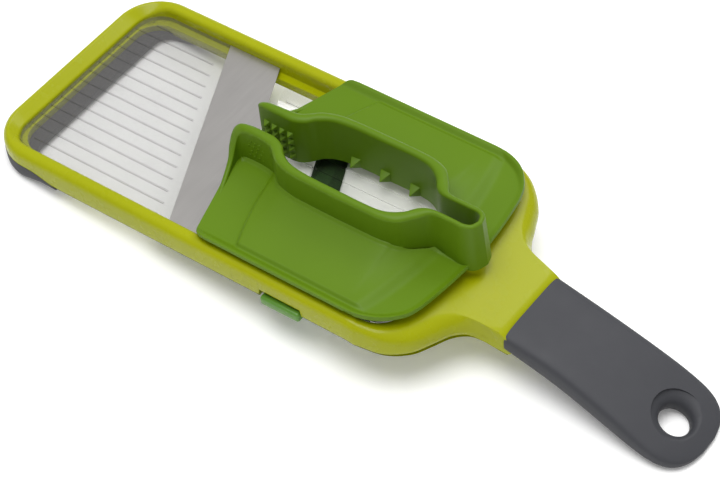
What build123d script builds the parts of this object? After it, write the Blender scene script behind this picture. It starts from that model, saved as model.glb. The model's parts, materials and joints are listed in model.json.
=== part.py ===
from build123d import *
import math
import os

# Mandoline slicer: a long frame with two side rails, a clear landing plate and a
# skewed blade at the far end, a clear feed platform that tilts to set the slice
# thickness, a two-jaw food grip that slides on the rails, and a drooping handle.
#
# The model is drawn flat, in the plane of the slicing surface: X runs from the far
# end to the handle, Y across, and Z = 0 is the top of the landing plate. At the end
# everything is tilted to stand on its foot and the tip of its handle.

# ---- driving dimensions, mm ----
HALF_WIDTH = 59.0          # outside of a rail
CORNER_R = 22.0            # far corners of the frame
RAIL_IN = 52.0             # inner wall of a rail
RAIL_TOP = 5.2
RAIL_BOTTOM = -7.2
LEDGE_IN = 48.2            # inner edge of the ledge that carries the plate
PLATE_T = 2.6              # landing plate thickness, and depth of its seat
PLATE_START = 8.3          # far edge of the landing plate
WINDOW_START = 11.8        # far edge of the through window
WINDOW_END = 221.0         # handle edge of the through window
SHOULDER_X = 209.0         # where the straight rails end
NECK_X = 257.0             # where the neck enters the handle
NECK_HALF = 21.5
HANDLE_END = 347.0

SKEW = 0.46                # the blade's run along X for each mm across
BLADE_BACK = 79.3          # the blade's two edges, on the centre line
BLADE_EDGE = 108.5
BLADE_T = 0.9
BEVEL = 3.2                # width of the ground bevel
SLICE_GAP = 4.2            # along X, from the blade's edge to the platform
RIB_COUNT = 14
RIB_PITCH = 6.74
RIB_H = 0.4
RIB_W = 0.7

PIVOT_X = 206.0            # the platform's hinge
PIVOT_Z = -4.7
PIN_R = 1.5
RUNNING = 0.06             # radial clearance of a running fit
PLATFORM_HALF = 47.4
PLATFORM_T = 2.4
REST_DROP = 0.75           # degrees the platform sits below flush

CARRIER_X = 148.5          # the adjuster bar, on the centre line
CARRIER_W = 15.4
CARRIER_TOP = -2.4
CARRIER_BOTTOM = -10.6
WALL = 1.8
BUTTON_T = 4.2
TAB_L = 21.0
TAB_SHIFT = 3.2            # a tab's middle lies this much off its slider's
NOTCH_HALF = 11.5          # half the length of a button's notch in the rail
TAB_OUT = 60.6             # outer face of a button
SPRING_R = 1.6
WIRE_R = 0.3

GRIP_TOP = 30.5            # rims of the jaws and of the hinge web
GRIP_BOTTOM = 3.2          # underside of the pinch lobes
BELLY_X = 138.0            # from here on the walls are shallower
BELLY_BOTTOM = 5.0
POCKET_BOTTOM = 5.0        # the skirts step up to this where they pass over the frame
POCKET_X = 205.0
WING_OUT = 56.4
JAW_PIVOT_X = 224.0
JAW_CUT = 0.3              # gap between a jaw and the hinge web
STUD_X = 116.0             # first small stud, and the spacing of the small ones
STUD_Z = 6.9
STUD_PITCH = 4.35
STUD_ROW_X = 156.0         # first large stud
STUD_ROW_Z = 8.2

FOOT_BAR = 17.5            # inner edge of the foot's cross bar
FOOT_END = 42.0            # ends of the foot's side arms
FOOT_LOW = -10.0           # bottom of the foot at the far end
TIP_X = 338.0              # where the handle's tip touches the table
TIP_Z = -43.6
HOLE_X = 329.5             # the hanging hole
HOLE_R = 6.9
HOLE_SLOPE = 20.0          # degrees the handle droops there

TILT = math.degrees(math.atan2(FOOT_LOW - TIP_Z, TIP_X - 4.0))
SKEW_ANGLE = math.degrees(math.atan(SKEW))


def skewed(x0, y):
    """X of a line parallel to the blade that crosses the centre line at x0."""
    return x0 - SKEW * y


def tab_middle(side):
    return skewed(CARRIER_X, side * 55) + side * TAB_SHIFT


def block(x0, x1, y0, y1, z0, z1):
    """A box from its low corner to its high corner."""
    centre = ((x0 + x1) / 2, (y0 + y1) / 2, (z0 + z1) / 2)
    return Pos(*centre) * Box(x1 - x0, y1 - y0, z1 - z0)


def prism(points, z0, z1):
    """A straight-sided prism over a plan outline."""
    face = make_face(Polyline(*points, close=True))
    return Pos(0, 0, z0) * extrude(face, z1 - z0)


def skew_band(x0, x1, half, z0, z1):
    """A plate between two lines parallel to the blade."""
    corners = [
        (skewed(x0, -half), -half),
        (skewed(x1, -half), -half),
        (skewed(x1, half), half),
        (skewed(x0, half), half),
    ]
    return prism(corners, z0, z1)


def rounded_window(x0, x1, half, radius, z0, z1):
    """A rounded rectangle, as a cutter."""
    plan = Pos((x0 + x1) / 2, 0) * RectangleRounded(x1 - x0, 2 * half, radius)
    return Pos(0, 0, z0) * extrude(plan, z1 - z0)


def side_slab(top, bottom, half):
    """The solid between two side-view curves, given as lists of (x, z)."""
    upper = Spline(*[(x, 0, z) for x, z in top])
    lower = Spline(*[(x, 0, z) for x, z in bottom])
    near_end = Line(upper @ 0, lower @ 0)
    far_end = Line(upper @ 1, lower @ 1)
    face = make_face([upper, lower, near_end, far_end])
    return extrude(face, half, dir=(0, 1, 0), both=True)


# ---- frame ----
def frame_outline():
    """Plan of the frame as far as the handle joint."""
    arc_mid = CORNER_R * (1 - math.sqrt(0.5))
    flat = Line((0, 0), (0, HALF_WIDTH - CORNER_R))
    corner = ThreePointArc(
        flat @ 1, (arc_mid, HALF_WIDTH - arc_mid), (CORNER_R, HALF_WIDTH)
    )
    rail = Line(corner @ 1, (SHOULDER_X, HALF_WIDTH))
    shoulder = Spline(
        rail @ 1, (222, 55.6), (231.5, 48), (236.5, 38.5), (240.5, 30),
        (246, 24.2), (NECK_X, NECK_HALF), tangents=[(1, 0), (1, 0)]
    )
    half = [flat, corner, rail, shoulder]
    other = [mirror(edge, about=Plane.XZ) for edge in half]
    end = Line((NECK_X, NECK_HALF), (NECK_X, -NECK_HALF))
    return make_face(half + other + [end])


def make_frame():
    body = Pos(0, 0, -40) * extrude(frame_outline(), 60)
    straight = block(-5, 200, -70, 70, RAIL_BOTTOM, RAIL_TOP)
    neck = side_slab(
        [(200, RAIL_TOP), (209, 4.7), (222, 2.6), (241, -2.5), (262, -8.2)],
        [(200, RAIL_BOTTOM), (209, -7.8), (222, -10.2), (241, -15.4), (262, -21.2)],
        70,
    )
    body = body & (straight + neck)

    # seat for the plate, through window, and the slope of the far bar down to the plate
    body -= rounded_window(PLATE_START, WINDOW_END, RAIL_IN, 13, -PLATE_T, 20)
    body -= rounded_window(WINDOW_START, WINDOW_END, LEDGE_IN, 10, -30, 20)
    slope = Polyline((2.5, 0, RAIL_TOP), (PLATE_START, 0, 1.2), (PLATE_START, 0, 9),
                     (2.5, 0, 9), close=True)
    body -= extrude(make_face(slope), 40, dir=(0, 1, 0), both=True)

    # open-bottomed notches for the two buttons
    for side in (-1, 1):
        mid = tab_middle(side) + side * 0.46
        low, high = sorted((side * 46, side * 62))
        body -= block(mid - NOTCH_HALF, mid + NOTCH_HALF, low, high, -20, -3.9)

    # recess for the foot, blind holes for the two pivot pins
    body -= foot_outline(0.0, RAIL_BOTTOM - 1, RAIL_BOTTOM + 1.2)
    for side in (-1, 1):
        hole = Pos(PIVOT_X, side * 51.5, PIVOT_Z) * Rot(90, 0, 0) * Cylinder(PIN_R, 9)
        body -= hole
    body += tang()
    return body


def tang():
    """The frame's core inside the soft handle."""
    plan = block(NECK_X - 4, 317, -11, 11, -60, 20)
    slab = side_slab(
        [(NECK_X - 6, -9.6), (285, -18.2), (320, -30.2)],
        [(NECK_X - 6, -15.2), (285, -24.0), (320, -35.6)],
        30,
    )
    return plan & slab


# ---- handle ----
def make_handle():
    """Soft sleeve with the hanging hole, over the tang."""
    side = Spline(
        (NECK_X, NECK_HALF), (285, 21.4), (312, 22.2), (330, 21.9), (340.5, 18.0),
        (345.6, 10.0), (HANDLE_END, 0), tangents=[(1, -0.02), (0, -1)]
    )
    start = Line((NECK_X, -NECK_HALF), (NECK_X, NECK_HALF))
    plan = make_face([start, side, mirror(side, about=Plane.XZ)])
    sleeve = Pos(0, 0, -60) * extrude(plan, 80)
    slab = side_slab(
        [(NECK_X - 1, -6.6), (285, -13.8), (312, -23.2), (332, -31.4), (341, -35.6),
         (348, -39.6)],
        [(NECK_X - 1, -20.0), (285, -29.6), (312, -38.2), (331, -43.0),
         (TIP_X, TIP_Z), (348, -43.0)],
        40,
    )
    sleeve &= slab
    sleeve -= tang()
    flare = Pos(0, 0, 5.6) * Cone(HOLE_R, HOLE_R + 3.4, 5)
    hole = Cylinder(HOLE_R, 60) + flare
    return sleeve - Pos(HOLE_X, 0, -36.0) * Rot(0, HOLE_SLOPE, 0) * hole


# ---- foot ----
def foot_outline(grow, z0, z1):
    """U-shaped pad under the far end, as a plain slab."""
    outer = Pos(60, 0) * RectangleRounded(120 + 2 * grow, 2 * (HALF_WIDTH + grow), CORNER_R)
    inner = Pos(FOOT_BAR + 60, 0) * RectangleRounded(120, 2 * (LEDGE_IN + 0.8), 9)
    keep = Pos(20.5 - 1, 0) * Rectangle(2 * (FOOT_END - 19.5), 130)
    return Pos(0, 0, z0) * extrude((outer - inner) & keep, z1 - z0)


def make_foot():
    pad = foot_outline(0.0, -16, RAIL_BOTTOM + 1.2)
    run = math.tan(math.radians(TILT))
    low = FOOT_LOW - run * (FOOT_BAR - 4.0)
    side = Polyline((-5, 0, FOOT_LOW + 9 * run), (FOOT_BAR, 0, low),
                    (FOOT_END, 0, RAIL_BOTTOM), (FOOT_END + 3, 0, RAIL_BOTTOM),
                    (FOOT_END + 3, 0, 0), (-5, 0, 0), close=True)
    return pad & extrude(make_face(side), 70, dir=(0, 1, 0), both=True)


# ---- landing plate and blade ----
def make_landing_plate():
    gap = 0.15
    plan = rounded_window(PLATE_START + gap, 180, RAIL_IN - gap, 12.8, -PLATE_T, RIB_H)
    plate = plan & skew_band(-200, BLADE_BACK - 0.1, 70, -PLATE_T, 0)
    plate += plan & skew_band(-200, BLADE_EDGE - 8.5, 70, -PLATE_T, -BLADE_T)
    for number in range(RIB_COUNT):
        y = (number - (RIB_COUNT - 1) / 2) * RIB_PITCH
        inset = max(0.0, abs(y) - 37.0)
        start = PLATE_START + 1.4 + 0.16 * inset * inset
        plate += block(start, skewed(BLADE_BACK - 5.3, y), y - RIB_W / 2, y + RIB_W / 2,
                       -0.2, RIB_H)
    for x, y in screw_places():
        plate -= Pos(x, y, -PLATE_T / 2) * Cylinder(1.1, 5)
    return plate


def make_blade():
    """Steel strip with its edge towards the handle, ground on the lower side."""
    half = RAIL_IN - 0.15
    blade = skew_band(BLADE_BACK, BLADE_EDGE, half, -BLADE_T, 0.0)
    bevel = Polyline((BLADE_EDGE - BEVEL, 0, -BLADE_T), (BLADE_EDGE + 1, 0, -0.02),
                     (BLADE_EDGE + 1, 0, -3), (BLADE_EDGE - BEVEL, 0, -3), close=True)
    cutter = extrude(make_face(bevel), 70, dir=(-SKEW, 1, 0), both=True)
    return blade - cutter


def screw_places():
    return [(skewed(BLADE_BACK + 9.5, y), y) for y in (-38, 0, 38)]


def make_clamp_bar():
    bar = skew_band(BLADE_BACK + 3, BLADE_BACK + 17, LEDGE_IN - 0.4, -PLATE_T - 2.4, -PLATE_T)
    for x, y in screw_places():
        bar -= Pos(x, y, -PLATE_T) * Cylinder(1.1, 10)
    return bar


def screw(head_r, head_h, shank_r, length):
    """A small screw seen from below, its head under Z = 0 and its shank above."""
    head = Pos(0, 0, -head_h / 2) * Cylinder(head_r, head_h)
    shank = Pos(0, 0, length / 2) * Cylinder(shank_r, length)
    slot_one = Pos(0, 0, -head_h) * Box(head_r * 1.2, 0.5, 0.8)
    slot_two = Pos(0, 0, -head_h) * Box(0.5, head_r * 1.2, 0.8)
    return head + shank - slot_one - slot_two


def make_blade_screws():
    low = -PLATE_T - 2.4
    length = -BLADE_T - low
    return [Pos(x, y, low) * screw(2.1, 1.3, 1.1, length) for x, y in screw_places()]


# ---- tilting platform and its adjuster, drawn flush ----
def make_pin(side):
    return Pos(PIVOT_X, side * 49.5, PIVOT_Z) * Rot(90, 0, 0) * Cylinder(PIN_R, 13)


def make_platform():
    lead = BLADE_EDGE + SLICE_GAP
    half = PLATFORM_HALF
    end = WINDOW_END - 2.0
    outline = Polyline((skewed(lead, -half), -half), (end, -half), (end, half),
                       (skewed(lead, half), half), close=True)
    face = make_face(outline)
    ends = face.vertices().sort_by(Axis.X)
    face = fillet(ends[2:], 10)
    face = fillet(face.vertices().sort_by(Axis.X)[:1], 6)
    plate = Pos(0, 0, -PLATFORM_T) * extrude(face, PLATFORM_T)
    count = 12
    for number in range(count):
        y = (number - (count - 1) / 2) * RIB_PITCH
        plate += block(skewed(lead + 4, y), end - 9, y - RIB_W / 2, y + RIB_W / 2, -0.2, RIB_H)
    for side in (-1, 1):
        low, high = sorted((side * 42.5, side * PLATFORM_HALF))
        plate += block(PIVOT_X - 4, PIVOT_X + 4, low, high, PIVOT_Z - 3, -PLATFORM_T)
        lug_bore = Pos(PIVOT_X, side * 45, PIVOT_Z) * Rot(90, 0, 0)
        plate -= lug_bore * Cylinder(PIN_R + RUNNING, 8)
    return plate


def along_bar(part):
    """Place a part drawn with the adjuster bar lying along Y."""
    return Pos(CARRIER_X, 0, 0) * Rot(0, 0, SKEW_ANGLE) * part


def bar_box(width, y0, y1, z0, z1):
    return along_bar(block(-width / 2, width / 2, y0, y1, z0, z1))


def cover_screw_places():
    return [(x, y) for x in (-6.7, 6.7) for y in (-20, 20)]


def make_carrier():
    """Downward-open trough under the platform that guides both buttons."""
    room = block(0, 300, -46.8, 46.8, -30, 10)
    bar = bar_box(CARRIER_W, -60, 60, CARRIER_BOTTOM + 1.4, CARRIER_TOP)
    cavity = bar_box(CARRIER_W - 2 * WALL - 0.4, -70, 70, -30, CARRIER_TOP - WALL)
    stop = bar_box(CARRIER_W - 2, -1, 1, CARRIER_BOTTOM + 1.4, CARRIER_TOP)
    bar = (bar - cavity + stop) & room
    for x, y in cover_screw_places():
        bar -= along_bar(Pos(x, y, CARRIER_BOTTOM) * Cylinder(0.45, 8))
    return bar


def make_cover():
    room = block(0, 300, -46.8, 46.8, -30, 10)
    cover = bar_box(CARRIER_W, -60, 60, CARRIER_BOTTOM, CARRIER_BOTTOM + 1.4) & room
    for x, y in cover_screw_places():
        cover -= along_bar(Pos(x, y, CARRIER_BOTTOM) * Cylinder(0.45, 8))
    return cover


def make_cover_screws():
    small = screw(1.0, 0.7, 0.45, 3.4)
    places = cover_screw_places()
    return [along_bar(Pos(x, y, CARRIER_BOTTOM) * small) for x, y in places]


def make_button(side):
    """Slider inside the carrier with a wide finger tab outside the rail."""
    top = CARRIER_TOP - WALL - 0.25
    low, high = sorted((side * 24, side * 75))
    width = CARRIER_W - 2 * WALL - 0.8
    slider = bar_box(width, low, high, top - BUTTON_T, top)
    low, high = sorted((side * 49.6, side * TAB_OUT))
    slider &= block(0, 300, -55, 55, -30, 10)
    mid = tab_middle(side)
    tab = block(mid - TAB_L / 2, mid + TAB_L / 2, low, high, top - BUTTON_T - 0.6, top)
    tab = fillet(tab.edges().filter_by(Axis.Z), 2.0)
    seat_y = side * 25
    seat = along_bar(Pos(0, seat_y, top - BUTTON_T / 2) * Rot(90, 0, 0) * Cylinder(2.05, 4))
    return slider + tab - seat


def make_spring(side):
    """Compression spring between the carrier's stop and a button."""
    top = CARRIER_TOP - WALL - 0.25
    length = 25.4
    path = Helix(pitch=2.5, height=length, radius=SPRING_R)
    start = path @ 0
    section = Plane(origin=start, z_dir=path % 0) * Circle(WIRE_R)
    coil = sweep(section, path=path, is_frenet=True)
    coil = Rot(-90, 0, 0) * coil if side > 0 else Rot(90, 0, 0) * coil
    return along_bar(Pos(0, side * 1.35, top - BUTTON_T / 2) * coil)


# ---- food grip ----
def wall_plan(side):
    """Plan of one jaw's upright wall: pinch lobe, belly and half of the pocket."""
    inner = [(111.0, 6.6), (115, 5.7), (124, 5.6), (131, 5.8), (136.5, 8.2),
             (140.5, 12.0), (147, 15.2), (158, 16.6), (190, 16.8), (198, 15.4), (204, 11.5), (208, 6.6),
             (213, 4.4), (JAW_PIVOT_X, 4.2)]
    outer = [(JAW_PIVOT_X, 6.5), (216, 6.9), (212.5, 9.0), (209.5, 13.5), (205, 18.0),
             (198, 20.4), (180, 21.0), (160, 20.8), (149, 20.2), (140.5, 17.8),
             (136, 14.6), (132, 11.6), (126, 10.4), (115, 10.4), (110.8, 9.8)]
    low = Spline(*[(x, side * y) for x, y in inner])
    high = Spline(*[(x, side * y) for x, y in outer])
    return make_face([low, high, Line(low @ 1, high @ 0), Line(high @ 1, low @ 0)])


def wing_plan(side):
    """Plan of one wing, from the blade side round to the handle side."""
    blade_side = Spline((109.4, side * 9.5), (115, side * 33), (120.5, side * 52))
    handle_side = Spline(
        (209, side * WING_OUT), (220, side * 52.3), (225.9, side * 46.3),
        (230.2, side * 36), (232.4, side * 22), (233, side * 7.6),
        tangents=[(1, 0), (0.1, -side)]
    )
    corner = Line(blade_side @ 1, (122.5, side * WING_OUT))
    edge = Line(corner @ 1, handle_side @ 0)
    lines = [
        blade_side, corner, edge, handle_side,
        Line(handle_side @ 1, (JAW_PIVOT_X, side * 7.4)),
        Line((JAW_PIVOT_X, side * 7.4), (JAW_PIVOT_X, side * 6.0)),
        Line((JAW_PIVOT_X, side * 6.0), (200, side * 18.5)),
        Line((200, side * 18.5), (146, side * 18.5)),
        Line((146, side * 18.5), (128, side * 8.6)),
        Line((128, side * 8.6), blade_side @ 0),
    ]
    return make_face(lines)


def wing_section(side):
    """Cross-section of a wing: dished panel, guide skirt and turned-up rim."""
    points = [(4, 14.8), (21, 14.6), (36, 11.2), (50, 9.0), (54.2, 9.4), (WING_OUT - 1.2, 11.6),
              (WING_OUT, 11.2), (WING_OUT - 1.0, 7.4), (54.2, 5.5), (51.4, 5.5), (51.4, 1.8),
              (49.8, 1.8), (49.8, 6.4), (36, 8.8), (21, 12.2), (4, 12.4)]
    outline = Polyline(*[(100, side * y, z) for y, z in points], close=True)
    return extrude(make_face(outline), 140, dir=(1, 0, 0))


def stud(base, height):
    """A square pyramid that points along +Y."""
    square = Plane.XZ * Rectangle(base, base)
    tip = Plane.XZ.offset(-height) * Rectangle(0.3, 0.3)
    return loft([square.face(), tip.face()])


def make_jaw(side):
    wall = Pos(0, 0, GRIP_BOTTOM) * extrude(wall_plan(side), GRIP_TOP - GRIP_BOTTOM)
    wing = wing_section(side) & (Pos(0, 0, -5) * extrude(wing_plan(side), 40))
    jaw = wall + wing
    jaw -= block(BELLY_X, 300, -30, 30, -10, BELLY_BOTTOM)
    jaw -= block(POCKET_X, 300, -60, 60, -10, POCKET_BOTTOM)
    turn = Rot(0, 0, 180) if side > 0 else Rot(0, 0, 0)
    small = turn * stud(3.6, 2.4)
    large = turn * stud(6.0, 5.4)
    for column in range(4):
        for row in range(4):
            x = STUD_X + column * STUD_PITCH
            jaw += Pos(x, side * 6.1, STUD_Z + row * STUD_PITCH) * small
    for number in range(3):
        jaw += Pos(STUD_ROW_X + 16.0 * number, side * 17.6, STUD_ROW_Z) * large
    return jaw


def make_web():
    """The thin U at the handle end that lets the jaws flex together."""
    start = JAW_PIVOT_X + JAW_CUT
    height = GRIP_TOP - POCKET_BOTTOM
    outer = Pos(start + 2.6, 0) * Rectangle(5.2, 13.0) + Pos(start + 5.2, 0) * Circle(6.5)
    inner = Pos(start + 2.3, 0) * Rectangle(5.8, 8.4) + Pos(start + 5.2, 0) * Circle(4.2)
    keep = Pos(start + 50, 0) * Rectangle(100, 40)
    return Pos(0, 0, POCKET_BOTTOM) * extrude((outer - inner) & keep, height)


# ---- build and place ----
def tilt_platform(part):
    """Lower the platform group from flush to its rest setting."""
    return Pos(PIVOT_X, 0, PIVOT_Z) * Rot(0, -REST_DROP, 0) * Pos(-PIVOT_X, 0, -PIVOT_Z) * part


nodes = {
    "main_frame": make_frame(),
    "handle_sleeve": make_handle(),
    "non_slip_foot": make_foot(),
    "landing_plate": make_landing_plate(),
    "blade": make_blade(),
    "blade_clamp_bar": make_clamp_bar(),
    "blade_screws": make_blade_screws(),
    "near_pivot_pin": make_pin(-1),
    "far_pivot_pin": make_pin(1),
    "grip_near_jaw": make_jaw(-1),
    "grip_far_jaw": make_jaw(1),
    "grip_hinge_web": make_web(),
}
platform_nodes = {
    "feed_platform": make_platform(),
    "adjuster_carrier": make_carrier(),
    "adjuster_cover": make_cover(),
    "cover_screws": make_cover_screws(),
    "near_button": make_button(-1),
    "far_button": make_button(1),
    "near_button_spring": make_spring(-1),
    "far_button_spring": make_spring(1),
}
for name, part in platform_nodes.items():
    if isinstance(part, list):
        nodes[name] = [tilt_platform(piece) for piece in part]
    else:
        nodes[name] = tilt_platform(part)


def stand(part):
    """Tilt the flat drawing so that the foot and the handle's tip share one level."""
    return Rot(0, -TILT, 0) * part


stood = {}
for name, part in nodes.items():
    if isinstance(part, list):
        stood[name] = Compound([stand(piece) for piece in part])
    else:
        stood[name] = stand(part)

whole = Compound(list(stood.values())).bounding_box()
shift = Pos(-(whole.min.X + whole.max.X) / 2, -(whole.min.Y + whole.max.Y) / 2, -whole.min.Z)

os.makedirs("parts", exist_ok=True)
for name, part in stood.items():
    export_step(shift * part, f"parts/{name}.step")

print("tilt", round(TILT, 3), "shift", shift.position)
print("size", whole.size)
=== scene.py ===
# %% [markdown]
# # A mandoline slicer, finished in Blender
#
# The slicer's mechanical model already exists: rails, blade, tilting platform and
# hinges are solids with real sizes. This lesson loads it, keeps the parts whose shape
# is already right, models the soft mouldings again with rounded edges, and gives each
# surface its finish. Loading comes first, because every place below is read from it.

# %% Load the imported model
import json
import math

import bpy
import numpy as np
from mathutils import Matrix, Vector


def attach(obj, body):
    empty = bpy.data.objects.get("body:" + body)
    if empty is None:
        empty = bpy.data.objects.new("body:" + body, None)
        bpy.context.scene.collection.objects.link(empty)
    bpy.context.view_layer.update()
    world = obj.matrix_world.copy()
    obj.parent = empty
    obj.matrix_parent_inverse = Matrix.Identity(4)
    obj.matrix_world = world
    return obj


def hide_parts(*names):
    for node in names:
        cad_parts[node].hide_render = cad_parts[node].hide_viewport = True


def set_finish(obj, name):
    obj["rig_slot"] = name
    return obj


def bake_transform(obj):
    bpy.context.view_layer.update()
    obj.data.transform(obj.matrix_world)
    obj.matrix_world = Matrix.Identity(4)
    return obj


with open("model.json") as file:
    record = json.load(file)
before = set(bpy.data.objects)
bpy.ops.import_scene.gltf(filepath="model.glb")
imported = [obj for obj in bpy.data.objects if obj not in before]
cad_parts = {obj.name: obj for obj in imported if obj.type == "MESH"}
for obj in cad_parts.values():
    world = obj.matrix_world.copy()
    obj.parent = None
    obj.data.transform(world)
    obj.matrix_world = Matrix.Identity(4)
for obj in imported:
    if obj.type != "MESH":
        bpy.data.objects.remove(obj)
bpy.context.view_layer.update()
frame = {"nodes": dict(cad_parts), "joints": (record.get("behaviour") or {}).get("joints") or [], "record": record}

print("nodes:", sorted(frame["nodes"]))

# %% [markdown]
# ## Drawing flat, then standing up
#
# The slicer rests on its foot and on the tip of its handle, so its rails slope by a
# few degrees. Modelling on a slope is awkward. Each piece is drawn lying flat, with
# one unit for a millimetre, x running from the far end to the handle and z = 0 on the
# slicing surface. One matrix then shrinks it to metres, tips it and moves it home.
# The slope is the direction in which the food grip slides, and the hinge of the tilting
# platform is a point whose flat place is known, so both come from the joints.

# %% The matrix that stands a flat piece up
MM = 0.001
HINGE_X = 206.0
HINGE_Z = -4.7

joints = {joint["name"]: joint for joint in frame["joints"]}
slide = Vector(joints["grip_slide"]["axis"])
hinge = Vector(joints["platform_tilt"]["pos_m"])
slope = math.atan2(-slide.z, -slide.x)
STAND = (
    Matrix.Translation(hinge)
    @ Matrix.Rotation(-slope, 4, "Y")
    @ Matrix.Scale(MM, 4)
    @ Matrix.Translation((-HINGE_X, 0.0, -HINGE_Z))
)
print("rails slope by", round(math.degrees(slope), 3), "degrees")
print("plate's far corner stands at", STAND @ Vector((8.3, 52.0, 0.0)))


# %% [markdown]
# ## Small tools for modelling by hand
#
# Operators act on whatever is selected, so the first helpers pick one object or
# nothing. The others are the steps that every piece needs: merge its doubled points,
# close its ends, cut it, join it with others, and at last stand it up.

# %% Helpers for objects
def pick(piece):
    """Make one object active and the only one selected."""
    bpy.ops.object.select_all(action="DESELECT")
    piece.select_set(True)
    bpy.context.view_layer.objects.active = piece


def deselect():
    bpy.ops.object.select_all(action="DESELECT")


MERGE_GAP = 0.004


def clean(piece):
    """Merge doubled points and turn all faces outwards."""
    pick(piece)
    bpy.ops.object.mode_set(mode="EDIT")
    bpy.ops.mesh.select_all(action="SELECT")
    bpy.ops.mesh.remove_doubles(threshold=MERGE_GAP)
    bpy.ops.mesh.normals_make_consistent(inside=False)
    bpy.ops.object.mode_set(mode="OBJECT")


def close_ends(piece):
    """Fill each open rim of a tube with one face."""
    pick(piece)
    bpy.ops.object.mode_set(mode="EDIT")
    bpy.ops.mesh.select_mode(type="EDGE")
    bpy.ops.mesh.select_all(action="DESELECT")
    bpy.ops.mesh.select_non_manifold(extend=False)
    bpy.ops.mesh.fill_holes(sides=0)
    bpy.ops.mesh.select_all(action="DESELECT")
    bpy.ops.mesh.select_non_manifold(extend=False)
    bpy.ops.mesh.edge_face_add()
    bpy.ops.mesh.select_mode(type="VERT")
    bpy.ops.object.mode_set(mode="OBJECT")


def carve(piece, cutter):
    """Cut one piece with another, and throw the cutter away."""
    pick(piece)
    cut = piece.modifiers.new("cut", "BOOLEAN")
    cut.operation = "DIFFERENCE"
    cut.solver = "EXACT"
    cut.object = cutter
    bpy.ops.object.modifier_apply(modifier="cut")
    bpy.data.objects.remove(cutter)


def join(pieces, name):
    """Join several pieces into the first one."""
    pick(pieces[0])
    for extra in pieces[1:]:
        extra.select_set(True)
    bpy.ops.object.join()
    pieces[0].name = name
    pieces[0].data.name = name
    return pieces[0]


def stand(piece, angle=38.0):
    """Stand a flat piece up at the origin and smooth its soft edges."""
    pick(piece)
    bpy.ops.object.transform_apply(location=True, rotation=True, scale=True)
    piece.data.transform(STAND)
    piece.data.update()
    bpy.ops.object.shade_smooth_by_angle(angle=math.radians(angle))
    print(piece.name, "has", len(piece.data.polygons), "faces")


# %% [markdown]
# ## Wrapping a sheet around a form
#
# A moulding whose section changes all along its length is hard to push about point by
# point. It is a bent sheet: a grid primitive whose rows are laid on one cross-section
# after another. The seams that meet are then merged, as if the sheet were glued into a
# tube. The long curves go smoothly through a few chosen points, as a bent ruler would.

# %% Helpers for long curves and wrapped sheets
def through(points, steps):
    """A smooth line through points, with that many steps between neighbours."""
    p = np.array(points, float)
    ends = np.vstack([2 * p[0] - p[1], p, 2 * p[-1] - p[-2]])
    line = []
    for k in range(1, len(ends) - 2):
        a, b, c, d = ends[k - 1 : k + 3]
        for t in np.linspace(0, 1, steps, endpoint=False):
            line.append(0.5 * (2 * b + (c - a) * t + (2 * a - 5 * b + 4 * c - d) * t**2
                               + (3 * b - a - 3 * c + d) * t**3))
    line.append(p[-1])
    return np.array(line)


def evenly(line, count):
    """The same line, cut into equal lengths."""
    run = np.concatenate([[0], np.cumsum(np.linalg.norm(np.diff(line, axis=0), axis=1))])
    at = np.linspace(0, run[-1], count)
    return np.stack([np.interp(at, run, line[:, k]) for k in range(line.shape[1])], 1)


def ruler(points):
    """A height that changes smoothly along a length, as a function."""
    line = through(points, 12)
    return lambda x: np.interp(x, line[:, 0], line[:, 1])


def soft_step(x, low, high):
    """0 below low, 1 above high, and a soft ramp between."""
    t = np.clip((x - low) / (high - low), 0, 1)
    return t * t * (3 - 2 * t)


def wrap(name, places):
    """A grid primitive laid on places[row, column], with the seams that meet merged."""
    places = np.array(places, float)
    rows, columns = places.shape[:2]
    deselect()
    bpy.ops.mesh.primitive_grid_add(x_subdivisions=columns - 1, y_subdivisions=rows - 1, size=2)
    sheet = bpy.context.object
    sheet.name = name
    sheet.data.name = name
    flat = np.array([vertex.co for vertex in sheet.data.vertices])
    row = np.rint((flat[:, 1] + 1) / 2 * (rows - 1)).astype(int)
    column = np.rint((flat[:, 0] + 1) / 2 * (columns - 1)).astype(int)
    sheet.data.vertices.foreach_set("co", places[row, column].ravel())
    sheet.data.update()
    clean(sheet)
    return sheet


# %% [markdown]
# ## The lime frame
#
# The frame is one glossy moulding: a far bar, two rails, shoulders that close in to a
# neck, and the seat and through window inside them. Three outlines describe it from
# above: the outer edge, the edge of the seat and the edge of the window. A section is
# laid across from one to the next, with a fully rounded top, and carried all the way
# round. The tops droop at the neck, so heights are read from two side-view curves. The
# two buttons pass under the rails through open notches, where the underside steps up.

# %% Outlines of the frame, seen from above
RAIL_TOP = 5.2
RAIL_LOW = -7.2
LEDGE_Z = -2.6


def arc(centre, radius, count, start=180.0, sweep=-90.0):
    """Points on an arc, without its last one."""
    turn = np.radians(start + sweep * np.linspace(0, 1, count, endpoint=False))
    return np.stack([centre[0] + radius * np.cos(turn), centre[1] + radius * np.sin(turn)], 1)


def straight(a, b, count, last=False):
    return np.linspace(a, b, count, endpoint=last)


CARRIER_X = 148.5
SKEW = 0.46
TAB_SHIFT = 3.2
NOTCH_HALF = 11.5
NOTCH_LIFT = 3.3


def tab_middle(side):
    """Where the middle of a button's finger tab lies along the rail."""
    return CARRIER_X - SKEW * side * 55 + side * TAB_SHIFT


def notch_middle(side):
    return tab_middle(side) + side * 0.46


def rail_run(start, end, y):
    """Stations along a rail, closer together at the edges of both notches."""
    stations = set(np.linspace(start, end, 40, endpoint=False))
    for side in (-1, 1):
        for edge in (-NOTCH_HALF, -NOTCH_HALF + 0.5, NOTCH_HALF - 0.5, NOTCH_HALF):
            stations.add(notch_middle(side) + edge)
    return np.array([(x, y) for x in sorted(stations)])


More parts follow.
